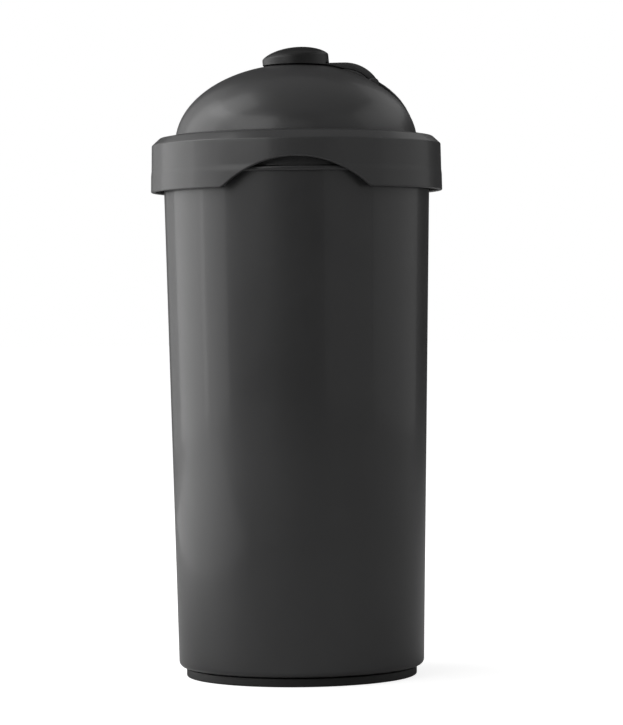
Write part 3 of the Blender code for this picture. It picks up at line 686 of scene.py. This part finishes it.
LUG_FACE = SADDLE_HALF + 0.2 * MM
combine(lid, "UNION", prism("saddle", saddle_outline(), saddle_width, bevel=0.35 * MM),
        rod("lugs", BARREL + 0.1 * MM, HINGE, -LUG_FACE, LUG_FACE, bevel=0.25 * MM))
combine(lid, "DIFFERENCE", prism("pocket", pocket_outline(), LUG_GAP),
        rod("pin_hole", PIN_HOLE, HINGE, GAP - SADDLE_HALF, LUG_FACE + GAP, sides=40))
place(lid, "lid", "lid_shell", lid_charcoal)

# %% [markdown]
# ## Cap arm
# The arm is a springy strap. It leaves a ring round the spout, passes under the knob, bends over the saddle
# and ends in a barrel on the pin. Its side view is drawn once, extruded, and its long edges rounded.

# %% Arm
RING_INNER = SPOUT_RADIUS + 0.5 * MM
RING_RADIUS = RING_INNER + 1.2 * MM
KNOB_INNER = RING_RADIUS + GAP
RING_HEIGHT = 1.1 * MM
KNOB_RADIUS = KNOB_INNER + 1.35 * MM
ARM_NECK = 0.6 * MM                          # thickness of the arm under the knob


def arm_outline():
    """Side view of the arm."""
    inner_bend = BEND_RADIUS - ARM_THICK
    crest = BEND.z + BEND_RADIUS
    neck_z = dome_z(KNOB_RADIUS) + SWING
    root = RING_INNER * 0.85
    outline = [(root, dome_z(RING_INNER) + SWING), (root, neck_z + ARM_NECK),
               (KNOB_RADIUS, neck_z + ARM_NECK)]
    for i in range(1, 8):
        x = KNOB_RADIUS + (BEND.x - KNOB_RADIUS) * i / 8
        outline.append((x, crest - (crest - neck_z - ARM_NECK) * (1 - i / 8) ** 2))
    outline += circle(BEND, BEND_RADIUS, 90, 30, 20)
    reach = BEND_RADIUS - BARREL
    meet = math.degrees(math.acos((reach ** 2 + inner_bend ** 2 - BARREL ** 2) / (2 * reach * inner_bend)))
    corner = circle(BEND, inner_bend, 30 + meet, 30 + meet, 1)[0]
    end = math.degrees(math.atan2(corner[1] - HINGE.z, corner[0] - HINGE.x)) - 360
    outline += circle(HINGE, BARREL, 30, end, 36)[1:-1]
    outline += circle(BEND, inner_bend, 30 + meet, 90, 16)
    leave = BEND.x - 3.0 * MM
    return outline + [(leave, dome_z(leave) + SWING), (KNOB_RADIUS, neck_z)]


ring_z = dome_z(RING_INNER) + SWING
arm = prism("cap_arm_strap", arm_outline(), ARM_HALF, bevel=0.35 * MM)
combine(arm, "UNION", turned("ring", rounded([
    (0, ring_z, 0), (RING_RADIUS, ring_z, 0.2 * MM), (RING_RADIUS, ring_z + RING_HEIGHT, 0.2 * MM),
    (0, ring_z + RING_HEIGHT, 0)]), 96))
combine(arm, "DIFFERENCE",
        turned("bore", [(0, DOME_Z), (RING_INNER, DOME_Z), (RING_INNER, SPOUT_Z), (0, SPOUT_Z)], 96),
        rod("arm_hole", PIN_HOLE, HINGE, -2 * ARM_HALF, 2 * ARM_HALF, sides=40))
place(arm, "cap", "cap_arm", lid_charcoal)

# %% [markdown]
# ## Knob, plug and pin
# The knob is a black crowned cap that a thumb pushes up. The arm passes under it, so it leans a little: the
# crown is turned, tilted, and then cut level below. Its hollow takes the arm's ring and the silicone plug
# that seals the spout.

# %% Knob
SIDE_Z = CROWN_Z + 2.4 * MM
KNOB_CROWN = 3.1 * MM
KNOB_LEAN = 5.2                              # degrees
CROWN_START = 25.0                           # degrees round the crown's ellipse where the side ends
bottom_z = dome_z(KNOB_INNER) + GAP
flange = SPOUT_RADIUS + GAP
roof_z = plug_high.z + GAP
start = math.radians(CROWN_START)
rise = KNOB_CROWN / (1 - math.sin(start))
crown = dome_points(KNOB_RADIUS / math.cos(start), rise, SIDE_Z - rise * math.sin(start), CROWN_START, 90, 24)
side = rounded([(0, DOME_Z + 10 * MM, 0), (KNOB_RADIUS, DOME_Z + 10 * MM, 0),
                (*crown[0], 0.8 * MM), (*crown[3], 0)])[:-1]
knob = turned("knob_cap", side + crown[3:-1] + [(0, crown[-1][1])], 128)
pivot = Matrix.Translation((0, 0, SIDE_Z))
knob.data.transform(pivot @ Matrix.Rotation(math.radians(-KNOB_LEAN), 4, "Y") @ pivot.inverted())
wide = 2 * KNOB_RADIUS
notch_z = dome_z(KNOB_RADIUS) + SWING + ARM_NECK + SWING
combine(knob, "DIFFERENCE",
        prism("level", [(-wide, DOME_Z), (wide, DOME_Z), (wide, bottom_z), (-wide, bottom_z)], wide),
        turned("hollow", [(0, DOME_Z), (KNOB_INNER, DOME_Z), (KNOB_INNER, SPOUT_Z),
                          (flange, plug_high.z), (flange, roof_z), (0, roof_z)], 128),
        prism("notch", [(SPOUT_BORE, DOME_Z), (wide, DOME_Z), (wide, notch_z), (SPOUT_BORE, notch_z)],
              LUG_GAP))
place(knob, "cap", "cap_knob", black_knob)

# %% Plug and pin
plug = turned("silicone_plug", rounded([
    (0, plug_low.z, 0), (SPOUT_BORE - 1.1 * MM, plug_low.z, 0.4 * MM),
    (SPOUT_BORE - 0.4 * MM, SPOUT_Z + GAP, 0.1 * MM), (plug_high.x, SPOUT_Z + GAP, 0.25 * MM),
    (plug_high.x, plug_high.z, 0.3 * MM), (0, plug_high.z, 0)]), 128)
place(plug, "cap", "spout_plug", silicone)
pin = rod("steel_pin", 0.8 * MM, HINGE, pin_low.y, pin_high.y, sides=48, bevel=0.15 * MM)
place(pin, "lid", "hinge_pin", steel)

# %% [markdown]
# ## Inside the lid
# A ring of silicone seals the rim, and a perforated plate breaks up lumps of powder. They are hidden until
# the lid comes off, but a maker would still find them there, so they get the same care.

# %% Gasket
seal_inner = COLLAR_RADIUS + SWING
gasket = turned("silicone_gasket", rounded([
    (seal_inner, seal_low.z, 0.35 * MM), (seal_inner + 1.2 * MM, seal_low.z, 0.2 * MM),
    (seal_inner + 1.5 * MM, seal_low.z + 0.3 * MM, 0.2 * MM), (seal_inner + 1.9 * MM, seal_low.z, 0.2 * MM),
    (seal_high.x, seal_low.z, 0.35 * MM), (seal_high.x, seal_high.z, 0.35 * MM),
    (seal_inner, seal_high.z, 0.35 * MM)]))
place(gasket, "seal", "lid_gasket", silicone)

# %% Strainer
PLATE = 1.2 * MM
HOLE_SPACING = 9.8 * MM
HOLE_RADIUS = 3.3 * MM
strainer = turned("strainer_plate", rounded([
    (0, grid_low.z, 0), (grid_high.x, grid_low.z, 0.4 * MM), (grid_high.x, grid_high.z, 0.3 * MM),
    (grid_high.x - 1.2 * MM, grid_high.z, 0.3 * MM), (grid_high.x - 1.2 * MM, grid_low.z + PLATE, 0.4 * MM),
    (0, grid_low.z + PLATE, 0)]), 160)
holes = bmesh.new()
for i in range(-3, 4):
    for j in range(-3, 4):
        if abs(i + j) <= 3:
            spot = (HOLE_SPACING * (i + j / 2), HOLE_SPACING * j * math.sqrt(3) / 2, grid_low.z)
            bmesh.ops.create_cone(holes, cap_ends=True, segments=28, radius1=HOLE_RADIUS, radius2=HOLE_RADIUS,
                                  depth=4 * PLATE, matrix=Matrix.Translation(spot))
combine(strainer, "DIFFERENCE", to_object(holes, "holes"))
place(strainer, "grid", "strainer", grid_plastic)

# %% [markdown]
# ## Studio
# A dark satin bottle is drawn by what it reflects. One tall soft light stands on the left and a weaker one
# on the right, so that both sides glow and the middle stays dark. The floor and background are plain and
# nearly white.

# %% Camera
CAMERA_DISTANCE = 1.010                      # metres in front of the centre line
camera_data = bpy.data.cameras.new("camera")
camera_data.lens = 154.5
camera_data.sensor_width = 36.0
camera_data.clip_start = 0.05
camera = bpy.data.objects.new("camera", camera_data)
camera.location = (0.0042, -CAMERA_DISTANCE, 0.116)
camera.rotation_euler = Euler((math.radians(90 - 0.84), 0, 0))
camera.rotation_euler.rotate_axis("Z", math.radians(-0.63))
bpy.context.scene.collection.objects.link(camera)
bpy.context.scene.camera = camera


# %% Floor and background
FLOOR_GLOW = (0.80, 1.0)                     # beside the bottle, and a little way off


def stage_material():
    """A matt white surface that looks evenly lit, however far away."""
    made = bpy.data.materials.new("studio_white")
    made.use_nodes = True
    tree = made.node_tree
    shader = tree.nodes["Principled BSDF"]
    shader.inputs["Base Color"].default_value = (0.55, 0.55, 0.55, 1)
    shader.inputs["Roughness"].default_value = 0.9
    shader.inputs["Specular IOR Level"].default_value = 0.1
    shader.inputs["Emission Color"].default_value = (1, 1, 1, 1)
    view = add(tree, "ShaderNodeLightPath")
    where = add(tree, "ShaderNodeTexCoord")
    away = add(tree, "ShaderNodeVectorMath", operation="LENGTH")
    fade = add(tree, "ShaderNodeMapRange")
    fade.inputs["From Min"].default_value, fade.inputs["From Max"].default_value = 0.05, 0.35
    fade.inputs["To Min"].default_value, fade.inputs["To Max"].default_value = FLOOR_GLOW
    glow = add(tree, "ShaderNodeMath", operation="MULTIPLY")
    tree.links.new(where.outputs["Object"], away.inputs[0])
    tree.links.new(away.outputs["Value"], fade.inputs["Value"])
    tree.links.new(view.outputs["Is Camera Ray"], glow.inputs[0])
    tree.links.new(fade.outputs["Result"], glow.inputs[1])
    tree.links.new(glow.outputs[0], shader.inputs["Emission Strength"])
    return made


floor_bm = bmesh.new()
bmesh.ops.create_grid(floor_bm, x_segments=1, y_segments=1, size=12)
floor = to_object(floor_bm, "studio_floor")
floor.data.materials.append(stage_material())


def build_world(seen, lit):
    """A background that is white to look at, and dim as a light."""
    world = bpy.data.worlds.new("studio")
    bpy.context.scene.world = world
    world.use_nodes = True
    tree = world.node_tree
    back = tree.nodes["Background"]
    view = add(tree, "ShaderNodeLightPath")
    mix = add(tree, "ShaderNodeMix", data_type="FLOAT")
    mix.inputs["A"].default_value = lit
    mix.inputs["B"].default_value = seen
    tree.links.new(view.outputs["Is Camera Ray"], mix.inputs["Factor"])
    tree.links.new(mix.outputs["Result"], back.inputs["Strength"])
    back.inputs["Color"].default_value = (1, 1, 1, 1)


build_world(seen=1.0, lit=0.05)


# %% Lights
def panel(name, azimuth, distance, low, high, width, power):
    """An upright soft panel facing the centre line; azimuth in degrees from +X towards +Y."""
    data = bpy.data.lights.new(name, "AREA")
    data.shape = "RECTANGLE"
    data.size, data.size_y = width, high - low
    data.energy = power
    light = bpy.data.objects.new(name, data)
    angle = math.radians(azimuth)
    light.location = (distance * math.cos(angle), distance * math.sin(angle), (low + high) / 2)
    light.rotation_euler = (-light.location * Vector((1, 1, 0))).to_track_quat("-Z", "Y").to_euler()
    light.visible_camera = False
    bpy.context.scene.collection.objects.link(light)
    return light


def overhead(name, place_, size, power):
    """A square soft light aimed down at the bottle."""
    data = bpy.data.lights.new(name, "AREA")
    data.size = size
    data.energy = power
    light = bpy.data.objects.new(name, data)
    light.location = place_
    light.rotation_euler = (Vector((0, 0, 0.1)) - light.location).to_track_quat("-Z", "Y").to_euler()
    light.visible_camera = False
    bpy.context.scene.collection.objects.link(light)
    return light


panel("left_panel", 161, 0.97, 0.02, 1.2, 0.80, 6.2)
panel("left_side_panel", 193, 1.0, 0.02, 1.2, 0.50, 2.7)
panel("left_back_panel", 125, 1.0, 0.02, 1.2, 0.40, 0.8)
panel("left_front_panel", 228, 1.0, 0.25, 1.2, 0.80, 5.0)
panel("front_panel", 270, 1.35, 0.5, 1.2, 0.80, 0.9)
panel("right_panel", 8, 0.97, 0.02, 0.5, 1.10, 0.8)
panel("right_high_panel", 8, 0.97, 0.5, 1.2, 1.10, 1.9)
panel("right_back_panel", 52, 1.0, 0.5, 1.2, 0.55, 0.7)
panel("right_front_panel", 315, 1.0, 0.02, 1.2, 0.80, 0.9)
overhead("left_overhead", (-0.9, 0.1, 1.3), 0.8, 3.6)
overhead("top_light", (0, 0, 1.4), 1.8, 2.4)
card = overhead("left_card", (-0.75, 0.15, 0.004), 0.9, 2.8)
card.rotation_euler = (math.pi, 0, 0)
bpy.context.scene.view_settings.view_transform = "Standard"
